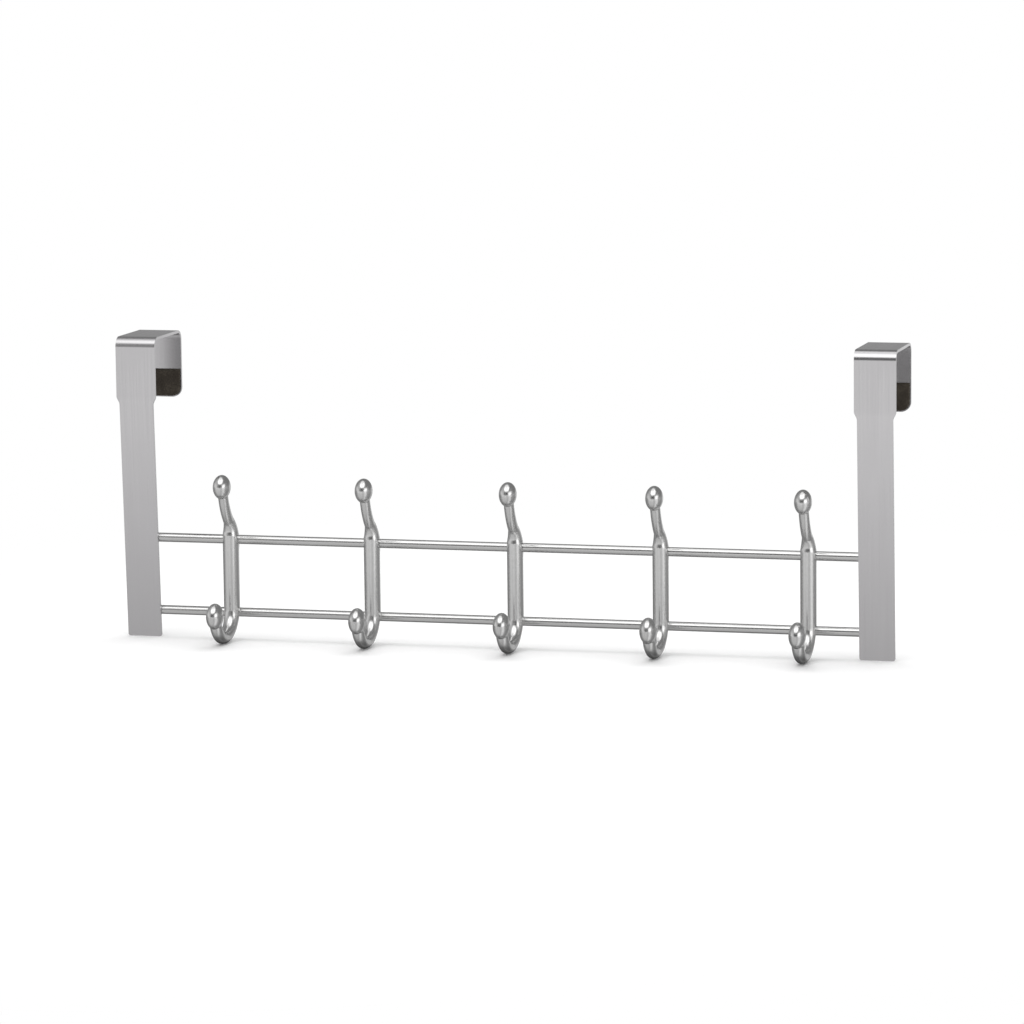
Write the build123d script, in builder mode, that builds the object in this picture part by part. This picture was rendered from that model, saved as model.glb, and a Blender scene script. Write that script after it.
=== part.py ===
from build123d import *
import os
from math import cos, radians, sin, tan

# Over door hook rack, in millimetres. The origin is midway between the brackets, on the top front edge
# of the door: X runs along the rods, +Y goes back through the door and +Z is up.

# Brackets: one bent strip of sheet each
rack_width = 432.0
sheet = 1.5
door_gap = 43.0
bend_radius = 4.0
head_width = 22.4
head_drop = 33.5
shoulder_height = 4.6
shoulder_flare = 0.15
flange_drop = 36.0
flange_corner = 5.5
strap_width = 19.2
strap_tail = 14.5
strap_corner = 1.2
toe_in = 3.0
toe_in_radius = 30.0

# Rods: round bar, each end welded flat against the back of a strap
rod_diameter = 5.0
upper_rod_drop = 109.3
rod_spacing = 40.6
rod_end_inset = 3.0
weld_flat_depth = 0.4
weld_flat_margin = 0.3

# Door pads: on the inner face of each rear flange
pad_thickness = 1.5
pad_height = 15.0
pad_margin = 0.6

# Double hooks: widths are along X, depths across the arm
hook_count = 5
end_hook_inset = 55.2
hook_row_shift = 7.3
bore_clearance = 0.05
shank_lead = 4.5
shank_width = 8.6
shank_depth = 10.4
curl_radius = 15.0
lower_drop = 14.5
lower_arm_width = 6.6
lower_arm_depth = 7.0
lower_arm_stop = 4.5
lower_knob_width = 9.0
lower_knob_diameter = 14.2
neck_rise = 3.2
neck_lean = 46.0
neck_radius = 11.0
neck_width = 5.5
neck_depth = 7.0
crook_radius = 32.0
stem_lean = 20.0
stem_width = 5.4
stem_depth = 6.3
upper_knob_rise = 30.9
upper_knob_width = 9.3
upper_knob_diameter = 13.3
boss_width = 8.3
boss_depth = 10.6
boss_length = 25.0
boss_drop = 2.0
boss_setback = 1.0

# Places worked out from the sizes above
bracket_x = (rack_width - head_width) / 2
hook_pitch = (rack_width - 2 * end_hook_inset) / (hook_count - 1)
upper_rod_z = -upper_rod_drop
lower_rod_z = upper_rod_z - rod_spacing
foot_z = lower_rod_z - strap_tail
bore_radius = rod_diameter / 2 + bore_clearance


def strap_back(z):
    """Depth of the strap's back face, which leans in below the head."""
    return (-head_drop - z) * tan(radians(toe_in))


def rod_y(z):
    """Depth of a rod that is welded to the strap's back at height z."""
    return strap_back(z) + (rod_diameter / 2 - weld_flat_depth) / cos(radians(toe_in))


def make_bracket(label, x):
    """Bends the strip over the door, then trims it to a narrower strap below the head."""
    with BuildPart() as bracket:
        with BuildSketch(Plane.YZ.offset(x)):
            with BuildLine():
                FilletPolyline(
                    (door_gap, -flange_drop),
                    (door_gap, 0),
                    (0, 0),
                    (0, -head_drop),
                    (strap_back(foot_z), foot_z),
                    radius=[bend_radius, bend_radius, toe_in_radius],
                )
                offset(amount=sheet, side=Side.RIGHT)
            make_face()
        extrude(amount=head_width / 2, both=True)

        # The strap is narrower than the head, so a strip comes off each side below a curved shoulder
        with BuildSketch(Plane.XZ.offset(-door_gap / 2)):
            for side in (-1, 1):
                head_edge = x + side * head_width / 2
                strap_edge = x + side * strap_width / 2
                clear_edge = head_edge + side * sheet
                with BuildLine():
                    shoulder = Spline(
                        (head_edge, -head_drop + shoulder_height / 2),
                        (strap_edge, -head_drop - shoulder_height / 2),
                        tangents=((-side * shoulder_flare, -1), (0, -1)),
                    )
                    Polyline(
                        shoulder @ 1,
                        (strap_edge, foot_z - sheet),
                        (clear_edge, foot_z - sheet),
                        (clear_edge, -head_drop + shoulder_height / 2),
                        shoulder @ 0,
                    )
                make_face()
        extrude(amount=door_gap, mode=Mode.SUBTRACT)

        # Rounded corners: the rear flange's and the strap's foot
        corners = bracket.edges().filter_by(lambda edge: abs(edge.length - sheet) < sheet / 4)
        foot = corners.sort_by(Axis.Z)[:2]
        flange = corners.filter_by(lambda edge: edge.center().Y > door_gap).sort_by(Axis.Z)[:2]
        fillet(flange, flange_corner)
        fillet(foot, strap_corner)
    bracket.part.label = label
    export_step(bracket.part, f"parts/{label}.step")


def make_rod(label, z):
    """Cuts a flat at each end of a round bar, where it is welded to the strap's back."""
    y = rod_y(z)
    half_length = bracket_x + strap_width / 2 - rod_end_inset
    lean = radians(toe_in)
    with BuildPart() as rod:
        with BuildSketch(Plane.YZ):
            with Locations((y, z)):
                Circle(rod_diameter / 2)
        extrude(amount=half_length, both=True)
        for side in (-1, 1):
            middle = (side * bracket_x, strap_back(z), z)
            with BuildSketch(Plane(middle, x_dir=(1, 0, 0), z_dir=(0, -cos(lean), -sin(lean)))):
                Rectangle(strap_width + 2 * weld_flat_margin, 2 * rod_diameter)
            extrude(amount=rod_diameter, mode=Mode.SUBTRACT)
    rod.part.label = label
    export_step(rod.part, f"parts/{label}.step")


def make_pad(label, x):
    """Sticks a soft pad on the rear flange, with its lower corners rounded inside the flange's own."""
    middle_z = -flange_drop + pad_margin + pad_height / 2
    with BuildPart() as pad:
        with BuildSketch(Plane((x, door_gap, middle_z), x_dir=(1, 0, 0), z_dir=(0, -1, 0))) as outline:
            Rectangle(head_width - 2 * pad_margin, pad_height)
            fillet(outline.vertices().group_by(Axis.Y)[0], flange_corner - pad_margin)
        extrude(amount=pad_thickness)
    pad.part.label = label
    export_step(pad.part, f"parts/{label}.step")


def make_hook(label, x):
    """Sweeps the arms and the shank along one spine, then adds the knobs, the boss and the rod bores."""
    axis_y = rod_y(lower_rod_z) - shank_lead
    curl_y = axis_y - curl_radius
    curl_z = lower_rod_z - lower_drop + lower_arm_depth / 2 + curl_radius
    neck_z = upper_rod_z + neck_rise
    with BuildPart() as hook:
        with BuildLine(Plane.YZ.offset(x)):
            rise = CenterArc((curl_y, curl_z), curl_radius, 180 + lower_arm_stop, 90 - lower_arm_stop)
            curl = CenterArc((curl_y, curl_z), curl_radius, 270, 90)
            shank = Line(curl @ 1, (axis_y, neck_z))
            neck = CenterArc((axis_y - neck_radius, neck_z), neck_radius, 0, neck_lean)
            crook_middle = neck @ 1 + (neck % 1).rotate(Axis.X, -90) * crook_radius
            crook_centre = (crook_middle.Y, crook_middle.Z)
            crook = CenterArc(crook_centre, crook_radius, 180 + neck_lean, stem_lean - neck_lean)
            stem_length = (upper_rod_z + upper_knob_rise - (crook @ 1).Z) / cos(radians(stem_lean))
            stem = Line(crook @ 1, crook @ 1 + (crook % 1) * stem_length)

        # Each stretch of the spine runs from one oval section to the next
        lower_arm = (lower_arm_width, lower_arm_depth)
        body = (shank_width, shank_depth)
        throat = (neck_width, neck_depth)
        upper_arm = (stem_width, stem_depth)
        stretches = [
            (rise, lower_arm, lower_arm),
            (curl, lower_arm, body),
            (shank, body, body),
            (neck, body, throat),
            (crook, throat, upper_arm),
            (stem, upper_arm, upper_arm),
        ]
        for stretch, first, last in stretches:
            for end, (width, depth) in enumerate((first, last)):
                with BuildSketch(Plane(stretch @ end, x_dir=(1, 0, 0), z_dir=stretch % end)):
                    Ellipse(width / 2, depth / 2)
            sweep(path=stretch, multisection=True)

        # The knobs and the boss that rounds off the shank's top are balls, flattened across and stretched along
        boss_middle = Vector(x, axis_y + boss_setback, upper_rod_z - boss_drop)
        rounds = [
            (rise @ 0, rise % 0, lower_knob_diameter, lower_knob_width, lower_knob_diameter),
            (stem @ 1, stem % 1, upper_knob_diameter, upper_knob_width, upper_knob_diameter),
            (boss_middle, shank % 1, boss_depth, boss_width, boss_length),
        ]
        for middle, direction, depth, width, length in rounds:
            ball = Sphere(depth / 2, mode=Mode.PRIVATE)
            knob = scale(ball, by=(width / depth, 1, length / depth), mode=Mode.PRIVATE)
            with Locations(Plane(middle, x_dir=(1, 0, 0), z_dir=direction)):
                add(knob)

        with BuildSketch(Plane.YZ.offset(x)):
            for z in (upper_rod_z, lower_rod_z):
                with Locations((rod_y(z), z)):
                    Circle(bore_radius)
        extrude(amount=shank_width, both=True, mode=Mode.SUBTRACT)
    hook.part.label = label
    export_step(hook.part, f"parts/{label}.step")


os.makedirs("parts", exist_ok=True)
for name, place_x in (("left", -bracket_x), ("right", bracket_x)):
    make_bracket(f"{name}_bracket", place_x)
    make_pad(f"{name}_pad", place_x)
make_rod("upper_rod", upper_rod_z)
make_rod("lower_rod", lower_rod_z)
for number in range(hook_count):
    make_hook(f"hook_{number + 1}", hook_row_shift + (number - (hook_count - 1) / 2) * hook_pitch)
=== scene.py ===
from math import cos, radians, sin
import bmesh
import bpy
from mathutils import Matrix, Vector


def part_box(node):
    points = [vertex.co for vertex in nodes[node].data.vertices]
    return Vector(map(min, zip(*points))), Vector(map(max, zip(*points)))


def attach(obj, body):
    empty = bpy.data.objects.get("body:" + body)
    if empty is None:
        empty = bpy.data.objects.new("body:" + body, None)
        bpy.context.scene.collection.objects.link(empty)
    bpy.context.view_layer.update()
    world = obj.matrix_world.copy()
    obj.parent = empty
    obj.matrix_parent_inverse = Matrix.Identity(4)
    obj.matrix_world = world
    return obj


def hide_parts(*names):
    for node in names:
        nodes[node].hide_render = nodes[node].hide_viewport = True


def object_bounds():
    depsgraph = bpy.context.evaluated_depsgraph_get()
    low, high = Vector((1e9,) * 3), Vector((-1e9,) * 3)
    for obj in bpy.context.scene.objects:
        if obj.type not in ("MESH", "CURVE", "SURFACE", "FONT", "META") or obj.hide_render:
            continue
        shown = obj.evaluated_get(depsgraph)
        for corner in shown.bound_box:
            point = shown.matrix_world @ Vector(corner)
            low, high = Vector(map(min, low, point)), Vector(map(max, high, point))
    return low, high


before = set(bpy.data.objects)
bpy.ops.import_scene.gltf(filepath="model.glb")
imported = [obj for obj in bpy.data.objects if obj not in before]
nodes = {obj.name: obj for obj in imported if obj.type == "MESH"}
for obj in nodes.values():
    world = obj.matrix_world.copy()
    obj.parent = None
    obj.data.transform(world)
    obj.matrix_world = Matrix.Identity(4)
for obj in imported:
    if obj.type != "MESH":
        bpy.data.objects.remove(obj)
cad_low, cad_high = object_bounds()
floor_z = cad_low.z
scene = bpy.context.scene
scene.view_settings.view_transform = "Standard"


def add_object(name, data):
    """Puts a new object with this data into the scene."""
    made = bpy.data.objects.new(name, data)
    scene.collection.objects.link(made)
    return made


# Camera: in front of the rack, a little to the right and above, in metres and radians
image_pixels = 1024.0
focal_pixels = 4824.1
sensor_millimetres = 36.0
camera_target = Vector((0.00455, 0.0085, -0.0905))
camera_azimuth = 0.261
camera_elevation = 0.14
camera_roll = -0.0105
camera_distance = 2.6
camera_far = 20.0


def make_camera():
    """A camera on a ball round the target, rolled about its line of sight."""
    data = bpy.data.cameras.new("camera")
    data.sensor_width = sensor_millimetres
    data.lens = sensor_millimetres * focal_pixels / image_pixels
    data.clip_end = camera_far
    flat = cos(camera_elevation)
    back = Vector((sin(camera_azimuth) * flat, -cos(camera_azimuth) * flat, sin(camera_elevation)))
    right = Vector((cos(camera_azimuth), sin(camera_azimuth), 0))
    up = back.cross(right)
    turn = Matrix((right, up, back)).transposed() @ Matrix.Rotation(camera_roll, 3, "Z")
    camera = add_object("camera", data)
    camera.matrix_world = Matrix.Translation(camera_target + back * camera_distance) @ turn.to_4x4()
    scene.camera = camera


make_camera()


# Helpers for node trees
unstretched = (1.0, 1.0, 1.0)
unshifted = (0.0, 0.0, 0.0)


def node(tree, kind, **settings):
    """Adds a node, setting its plain properties and, by name, its input sockets."""
    made = tree.nodes.new(kind)
    for key, value in settings.items():
        if hasattr(made, key):
            setattr(made, key, value)
        else:
            made.inputs[key.replace("_", " ")].default_value = value
    return made


def shaded_material(name):
    """A new material with its node tree and its main shader."""
    made = bpy.data.materials.new(name)
    made.use_nodes = True
    tree = made.node_tree
    return made, tree, tree.nodes["Principled BSDF"]


def bare_material(name):
    """A new material with its node tree, empty but for the output."""
    made = bpy.data.materials.new(name)
    made.use_nodes = True
    tree = made.node_tree
    tree.nodes.clear()
    return made, tree, tree.nodes.new("ShaderNodeOutputMaterial")


def ramp(tree, source, stops):
    """Sends a value through a colour ramp of (place, colour) stops, where a plain number is a grey."""
    made = tree.nodes.new("ShaderNodeValToRGB")
    elements = made.color_ramp.elements
    while len(elements) < len(stops):
        elements.new(0.5)
    for element, (place, colour) in zip(elements, stops):
        element.position = place
        element.color = (*colour, 1.0) if isinstance(colour, tuple) else (colour, colour, colour, 1.0)
    tree.links.new(source, made.inputs["Fac"])
    return made.outputs["Color"]


def stretched(tree, stretch, shift=unshifted):
    """Object coordinates multiplied by a stretch along each axis, then shifted."""
    place = tree.nodes.new("ShaderNodeTexCoord")
    mapping = node(tree, "ShaderNodeMapping", Scale=stretch, Location=shift)
    tree.links.new(place.outputs["Object"], mapping.inputs["Vector"])
    return mapping.outputs["Vector"]


def noise(tree, stretch, scale, detail, roughness):
    """Noise over stretched object coordinates."""
    made = node(tree, "ShaderNodeTexNoise", Scale=scale, Detail=detail, Roughness=roughness)
    tree.links.new(stretched(tree, stretch), made.inputs["Vector"])
    return made.outputs["Fac"]


def layered(tree, fine, coarse, share):
    """A fine noise with a share of a coarse one added."""
    made = node(tree, "ShaderNodeMath", operation="MULTIPLY_ADD")
    tree.links.new(coarse, made.inputs[0])
    made.inputs[1].default_value = share
    tree.links.new(fine, made.inputs[2])
    return made.outputs[0]


def bumped(tree, shader, height, strength, depth):
    """Gives a shader a bump from a height value, with its depth in metres."""
    bump = node(tree, "ShaderNodeBump", Strength=strength, Distance=depth)
    tree.links.new(height, bump.inputs["Height"])
    tree.links.new(bump.outputs["Normal"], shader.inputs["Normal"])


def distance(tree, stretch, shift=unshifted):
    """Distance from the middle in stretched and shifted object coordinates."""
    made = node(tree, "ShaderNodeVectorMath", operation="LENGTH")
    tree.links.new(stretched(tree, stretch, shift), made.inputs[0])
    return made.outputs["Value"]


# Metals: how far the colour and the roughness stray from their middle, and the turn of a brushed gloss
darkest_share = 0.97
lightest_share = 1.025
roughness_swing = 0.02
quarter_turn = 0.25


def metal(name, tint, streaks, clouds, roughness, bump_height, brushed=0.0):
    """Satin metal: streaks or grain in colour and roughness, cloudy wear, and a very fine bump.

    Streaks, along each axis, and clouds are counted per metre. Brushed is how far the gloss is drawn out.
    """
    made, tree, shader = shaded_material(name)
    shader.inputs["Metallic"].default_value = 1.0
    lines = noise(tree, streaks, scale=1.0, detail=3.0, roughness=0.6)
    wear = noise(tree, unstretched, scale=clouds, detail=2.0, roughness=0.5)
    surface = layered(tree, lines, wear, share=0.35)
    dark = tuple(channel * darkest_share for channel in tint)
    light = tuple(channel * lightest_share for channel in tint)
    colour = ramp(tree, surface, [(0.4, dark), (0.65, tint), (0.95, light)])
    tree.links.new(colour, shader.inputs["Base Color"])
    gloss = ramp(tree, surface, [(0.4, roughness + roughness_swing), (0.95, roughness - roughness_swing)])
    tree.links.new(gloss, shader.inputs["Roughness"])
    bumped(tree, shader, lines, strength=0.4, depth=bump_height)
    if brushed:
        along = node(tree, "ShaderNodeTangent", direction_type="RADIAL", axis="X")
        tree.links.new(along.outputs["Tangent"], shader.inputs["Tangent"])
        shader.inputs["Anisotropic"].default_value = brushed
        shader.inputs["Anisotropic Rotation"].default_value = quarter_turn
    return made


# Streaks run along the strip on the brackets and along the bar on the rods, and the castings have a grain
bracket_metal = metal(
    "brushed_sheet", tint=(0.58, 0.57, 0.58), streaks=(1000.0, 16.0, 16.0), clouds=50.0,
    roughness=0.25, bump_height=0.0000005, brushed=0.6,
)
rod_metal = metal(
    "satin_bar", tint=(0.64, 0.638, 0.635), streaks=(30.0, 1500.0, 1500.0), clouds=80.0,
    roughness=0.22, bump_height=0.0000002,
)
hook_metal = metal(
    "satin_casting", tint=(0.65, 0.648, 0.645), streaks=(600.0, 600.0, 600.0), clouds=90.0,
    roughness=0.24, bump_height=0.0000004,
)


# Metal pieces, in metres and degrees
weld_distance = 0.000002
hook_crease = 35.0
rod_crease = 20.0
broken_edge = 0.00035
broken_edge_crease = 50.0


def dress(name, material):
    """Gives a CAD node its material and smooth shading on its curves."""
    piece = nodes[name]
    piece.data.materials.clear()
    piece.data.materials.append(material)
    piece.data.shade_smooth()
    weld = piece.modifiers.new("weld", "WELD")
    weld.merge_threshold = weld_distance
    return piece


def crease(piece, angle):
    """Keeps the shading crisp along edges sharper than an angle."""
    split = piece.modifiers.new("creases", "EDGE_SPLIT")
    split.split_angle = radians(angle)


def break_edges(piece):
    """Breaks a sheet piece's sharp edges, which catch a thin line of light, and shades its bends evenly."""
    bevel = piece.modifiers.new("broken_edges", "BEVEL")
    bevel.width = broken_edge
    bevel.segments = 3
    bevel.limit_method = "ANGLE"
    bevel.angle_limit = radians(broken_edge_crease)
    shading = piece.modifiers.new("even_shading", "WEIGHTED_NORMAL")
    shading.mode = "FACE_AREA_WITH_ANGLE"


hook_names = [name for name in nodes if name.startswith("hook")]
for name in hook_names:
    crease(dress(name, hook_metal), hook_crease)
for name in ("upper_rod", "lower_rod"):
    crease(dress(name, rod_metal), rod_crease)
for name in ("left_bracket", "right_bracket"):
    break_edges(dress(name, bracket_metal))


# Foam pads: lengths in metres, cells and blotches per metre, and the crown as a share of the depth
foam_colours = [(0.5, (0.018, 0.014, 0.01)), (0.8, (0.036, 0.029, 0.022)), (1.0, (0.06, 0.05, 0.038))]
foam_cells = 1400.0
foam_blotches = 160.0
foam_cell_depth = 0.0002
pad_corner = 0.0049
pad_rounding = 0.0012
pad_crown = 0.25
pad_columns, pad_rows = 36, 26


def foam(name):
    """Dark soft foam: a fine cell texture, counted per metre, in colour and bump."""
    made, tree, shader = shaded_material(name)
    shader.inputs["Roughness"].default_value = 0.9
    shader.inputs["Specular IOR Level"].default_value = 0.25
    cells = noise(tree, unstretched, scale=foam_cells, detail=4.0, roughness=0.65)
    blotches = noise(tree, unstretched, scale=foam_blotches, detail=2.0, roughness=0.5)
    surface = layered(tree, cells, blotches, share=0.6)
    tree.links.new(ramp(tree, surface, foam_colours), shader.inputs["Base Color"])
    bumped(tree, shader, cells, strength=0.8, depth=foam_cell_depth)
    return made


def pad_front(mesh, low, high):
    """Rows of points over the pad's front: round lower corners, and a crown that falls off at the rim."""
    width, height, depth = high.x - low.x, high.z - low.z, high.y - low.y
    rows = []
    for j in range(pad_rows + 1):
        z = low.z + height * j / pad_rows
        below = max(0.0, pad_corner - (z - low.z))
        inset = pad_corner - (pad_corner ** 2 - below ** 2) ** 0.5
        left, right = low.x + inset, high.x - inset
        row = []
        for i in range(pad_columns + 1):
            x = left + (width - 2 * inset) * i / pad_columns
            rim = min(x - left, right - x, high.z - z, z - low.z) / pad_rounding
            rim = max(0.0, min(1.0, rim))
            swell = (1 - (1 - rim) ** 2) ** 0.5
            y = high.y - depth * (1 - pad_crown + pad_crown * swell)
            row.append(mesh.verts.new((x, y, z)))
        rows.append(row)
    return rows


def pad_mesh(name, low, high):
    """A closed pad in a box: crowned towards the door and flat where it is stuck on."""
    mesh = bmesh.new()
    rows = pad_front(mesh, low, high)
    for lower, upper in zip(rows, rows[1:]):
        for i in range(pad_columns):
            mesh.faces.new((lower[i], lower[i + 1], upper[i + 1], upper[i]))
    rim = [edge for edge in mesh.edges if edge.is_boundary]
    sides = bmesh.ops.extrude_edge_only(mesh, edges=rim)["geom"]
    for made in sides:
        if isinstance(made, bmesh.types.BMVert):
            made.co.y = high.y
    back = [edge for edge in mesh.edges if edge.is_boundary]
    bmesh.ops.contextual_create(mesh, geom=back)
    bmesh.ops.recalc_face_normals(mesh, faces=mesh.faces)
    data = bpy.data.meshes.new(name)
    mesh.to_mesh(data)
    mesh.free()
    data.shade_smooth()
    return data


def make_pad(name, material):
    """A foam pad in the space of its CAD solid."""
    piece = add_object(name + "_foam", pad_mesh(name + "_foam", *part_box(name)))
    piece.data.materials.append(material)
    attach(piece, "root")
    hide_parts(name)


pad_foam = foam("dark_foam")
make_pad("left_pad", pad_foam)
make_pad("right_pad", pad_foam)


# Floor, in metres: it fades into the white background in a long oval that is set towards the camera
floor_colour = (0.95, 0.95, 0.95, 1.0)
floor_half_size = 2.0
floor_fade_start, floor_fade_end = 0.3, 0.55
floor_oval_stretch = (1.0, 0.75, 1.0)
floor_oval_shift = (0.0, 0.15, 0.0)


def flat_sheet(name, half_width, half_depth):
    """A flat rectangle round its own middle."""
    mesh = bpy.data.meshes.new(name)
    signs = [(-1, -1), (1, -1), (1, 1), (-1, 1)]
    mesh.from_pydata([(x * half_width, y * half_depth, 0) for x, y in signs], [], [(0, 1, 2, 3)])
    return mesh


def make_floor():
    """The floor under the rack, which takes its shadow. The metal sees the studio instead of it."""
    paint, tree, shader = shaded_material("floor_paint")
    shader.inputs["Base Color"].default_value = floor_colour
    shader.inputs["Roughness"].default_value = 0.9
    shader.inputs["Specular IOR Level"].default_value = 0.0
    fade = node(tree, "ShaderNodeMapRange", interpolation_type="SMOOTHSTEP")
    fade.inputs["From Min"].default_value = floor_fade_start
    fade.inputs["From Max"].default_value = floor_fade_end
    clear = tree.nodes.new("ShaderNodeBsdfTransparent")
    blend = tree.nodes.new("ShaderNodeMixShader")
    tree.links.new(distance(tree, floor_oval_stretch, floor_oval_shift), fade.inputs["Value"])
    tree.links.new(fade.outputs["Result"], blend.inputs["Fac"])
    tree.links.new(shader.outputs["BSDF"], blend.inputs[1])
    tree.links.new(clear.outputs["BSDF"], blend.inputs[2])
    tree.links.new(blend.outputs["Shader"], tree.nodes["Material Output"].inputs["Surface"])
    floor = add_object("floor", flat_sheet("floor", floor_half_size, floor_half_size))
    floor.data.materials.append(paint)
    floor.location = (0, 0, floor_z)
    floor.visible_glossy = False


make_floor()


# Studio that only the metal sees: brightness by degrees of turn from the front, right positive, and of rise
low_wall = [
    (-180, 0.25), (-130, 0.25), (-110, 0.45), (-85, 0.9), (-50, 0.75), (-28, 0.45), (-12, 0.12),
    (36, 0.1), (50, 0.5), (56, 2.0), (88, 2.0), (98, 0.5), (120, 0.25), (180, 0.25),
]
high_wall = [
    (-180, 0.25), (-120, 0.3), (-80, 0.6), (-45, 0.6), (-20, 0.3), (-8, 0.12), (34, 0.12), (54, 0.3),
    (70, 0.25), (180, 0.25),
]
ground = [
    (-180, 0.42), (-120, 0.35), (-87, 0.6), (-68, 0.95), (-42, 1.0), (-20, 0.9), (-4, 1.02), (14, 1.0),
    (32, 0.8), (54, 0.9), (68, 1.4), (90, 1.4), (106, 0.6), (125, 0.45), (152, 0.4),
    (158, 0.9), (170, 0.9), (176, 0.42), (180, 0.42),
]
horizon_rise = (-2.0, 3.0)
high_wall_rise = (14.0, 26.0)
ground_dim, ground_dim_rise = 0.3, (-50.0, -85.0)
backdrop_level, backdrop_turn, backdrop_rise = 0.38, (-125.0, -150.0), (15.0, 9.0)
ceiling_level, ceiling_middle_turn = 2.0, 20.0
ceiling_edge, ceiling_edge_climb, ceiling_climb_turn = 32.0, 36.0, (25.0, 110.0)
ceiling_edge_below, ceiling_edge_above = 4.0, 8.0
zenith_dim, zenith_rise = 0.45, (58.0, 85.0)
studio_radius, studio_height = 4.0, 0.08
studio_steps, studio_rings = 180, 72


def smooth(span, value):
    """Smooth step from 0 at the span's start to 1 at its end."""
    start, end = span
    share = max(0.0, min(1.0, (value - start) / (end - start)))
    return share * share * (3 - 2 * share)


def mix(first, second, share):
    """The value a share of the way from the first to the second."""
    return first + (second - first) * share


def between(stops, place):
    """Straight-line value between (place, value) stops."""
    for (start, low), (end, high) in zip(stops, stops[1:]):
        if place <= end:
            return mix(low, high, (place - start) / (end - start))
    return stops[-1][1]


def studio_level(turn, rise):
    """Brightness of the studio in one direction."""
    wall = mix(between(low_wall, turn), between(high_wall, turn), smooth(high_wall_rise, rise))
    wall = mix(wall, backdrop_level, smooth(backdrop_turn, turn) * smooth(backdrop_rise, rise))
    below = between(ground, turn) * (1 - ground_dim * smooth(ground_dim_rise, rise))
    level = mix(below, wall, smooth(horizon_rise, rise))
    edge = ceiling_edge + ceiling_edge_climb * smooth(ceiling_climb_turn, abs(turn - ceiling_middle_turn))
    ceiling = ceiling_level * (1 - zenith_dim * smooth(zenith_rise, rise))
    return mix(level, ceiling, smooth((edge - ceiling_edge_below, edge + ceiling_edge_above), rise))


def stage_for_metal(name, mesh, material, place):
    """A stage piece that only reflections see."""
    mesh.materials.append(material)
    made = add_object(name, mesh)
    made.location = place
    made.visible_camera = False
    made.visible_diffuse = False
    made.visible_shadow = False
    made.visible_transmission = False


def studio_mesh():
    """A ball whose points carry the studio's brightness in their direction."""
    points, faces, levels = [], [], []
    for i in range(studio_steps):
        turn = 360.0 * i / studio_steps - 180.0
        for j in range(studio_rings + 1):
            rise = 180.0 * j / studio_rings - 90.0
            flat = studio_radius * cos(radians(rise))
            height = studio_radius * sin(radians(rise))
            points.append((flat * sin(radians(turn)), -flat * cos(radians(turn)), height))
            levels.append(studio_level(turn, rise))
    for i in range(studio_steps):
        for j in range(studio_rings):
            first = i * (studio_rings + 1) + j
            second = (i + 1) % studio_steps * (studio_rings + 1) + j
            faces.append((first, second, second + 1, first + 1))
    mesh = bpy.data.meshes.new("studio_ball")
    mesh.from_pydata(points, [], faces)
    mesh.attributes.new("level", "FLOAT", "POINT").data.foreach_set("value", levels)
    return mesh


def studio_ball():
    """The studio as a glowing ball round the object."""
    paint, tree, output = bare_material("studio_paint")
    glow = tree.nodes.new("ShaderNodeEmission")
    level = node(tree, "ShaderNodeAttribute", attribute_name="level")
    tree.links.new(level.outputs["Fac"], glow.inputs["Strength"])
    tree.links.new(glow.outputs[0], output.inputs["Surface"])
    stage_for_metal("studio_ball", studio_mesh(), paint, (0, 0, floor_z + studio_height))


# Shade that the metal sees on the floor: a share of the light that is left, by distance from the middle
floor_shade_reach = 0.6
floor_shade_stops = [(0.0, 0.66), (1.0, 1.0)]
contact_radius = 0.012
contact_lift = 0.0002
contact_stops = [(0.0, 0.15), (0.4, 0.35), (1.0, 1.0)]


def shade_sheet(name, place, half_width, half_depth, stretch, stops):
    """A sheet on the floor that dims what the metal sees through it."""
    paint, tree, output = bare_material(name)
    clear = tree.nodes.new("ShaderNodeBsdfTransparent")
    tree.links.new(ramp(tree, distance(tree, stretch), stops), clear.inputs["Color"])
    tree.links.new(clear.outputs[0], output.inputs["Surface"])
    stage_for_metal(name, flat_sheet(name, half_width, half_depth), paint, place)


def floor_shade():
    """The object's broad shade on the floor, deepest along the rack."""
    stretch = (0, 1 / floor_shade_reach, 0)
    place = (0, 0, floor_z)
    shade_sheet("floor_shade", place, floor_half_size, floor_shade_reach, stretch, floor_shade_stops)


def contact_shade(name):
    """The painted shade that the metal sees on the floor under a hook's curl, half way from the lower rod to
    the hook's front.
    """
    low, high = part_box(name)
    rod_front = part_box("lower_rod")[0].y
    place = ((low.x + high.x) / 2, (low.y + rod_front) / 2, floor_z + contact_lift)
    stretch = (1 / contact_radius, 1 / contact_radius, 0)
    shade_sheet(name + "_shade", place, contact_radius, contact_radius, stretch, contact_stops)


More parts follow.
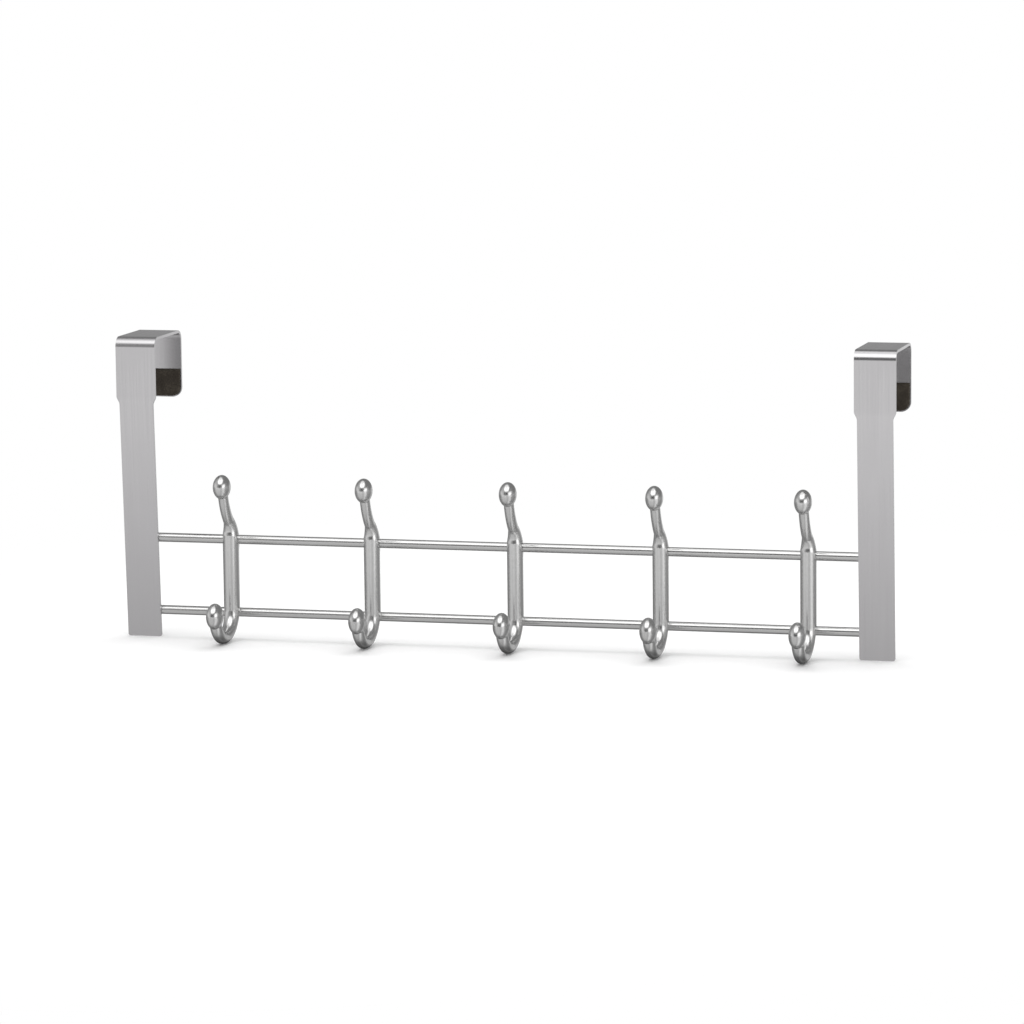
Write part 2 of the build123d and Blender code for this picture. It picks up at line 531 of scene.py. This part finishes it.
studio_ball()
floor_shade()
for name in hook_names:
    contact_shade(name)


# World: white where the camera, metal or glass sees it, and a soft grey where it lights
white = (1.0, 1.0, 1.0, 1.0)
backdrop_strength = 1.0
fill_strength = 0.88


def make_world():
    """The background and the fill light."""
    world = bpy.data.worlds.new("studio")
    scene.world = world
    world.use_nodes = True
    tree = world.node_tree
    tree.nodes.clear()
    output = tree.nodes.new("ShaderNodeOutputWorld")
    path = tree.nodes.new("ShaderNodeLightPath")
    seen = node(tree, "ShaderNodeMath", operation="MAXIMUM")
    seen_or_through = node(tree, "ShaderNodeMath", operation="MAXIMUM")
    tree.links.new(path.outputs["Is Camera Ray"], seen.inputs[0])
    tree.links.new(path.outputs["Is Glossy Ray"], seen.inputs[1])
    tree.links.new(seen.outputs[0], seen_or_through.inputs[0])
    tree.links.new(path.outputs["Is Transmission Ray"], seen_or_through.inputs[1])
    backdrop = node(tree, "ShaderNodeBackground", Color=white, Strength=backdrop_strength)
    fill = node(tree, "ShaderNodeBackground", Color=white, Strength=fill_strength)
    blend = tree.nodes.new("ShaderNodeMixShader")
    tree.links.new(seen_or_through.outputs[0], blend.inputs["Fac"])
    tree.links.new(fill.outputs[0], blend.inputs[1])
    tree.links.new(backdrop.outputs[0], blend.inputs[2])
    tree.links.new(blend.outputs[0], output.inputs["Surface"])


make_world()


# Lamps: a large softbox above and a tall one at the right, in metres and watts, which reflections don't show
lamp_aim = Vector((0.0, 0.0, -0.09))


def softbox(name, place, width, height, power):
    """A rectangular area lamp that faces the rack."""
    data = bpy.data.lights.new(name, "AREA")
    data.shape = "RECTANGLE"
    data.size = width
    data.size_y = height
    data.energy = power
    lamp = add_object(name, data)
    lamp.location = place
    lamp.rotation_euler = (lamp_aim - Vector(place)).to_track_quat("-Z", "Y").to_euler()
    lamp.visible_glossy = False


softbox("top_softbox", (-0.1, 0.2, 1.1), width=1.4, height=1.0, power=6.5)
softbox("right_softbox", (1.25, -0.64, 0.15), width=0.3, height=0.9, power=1.6)
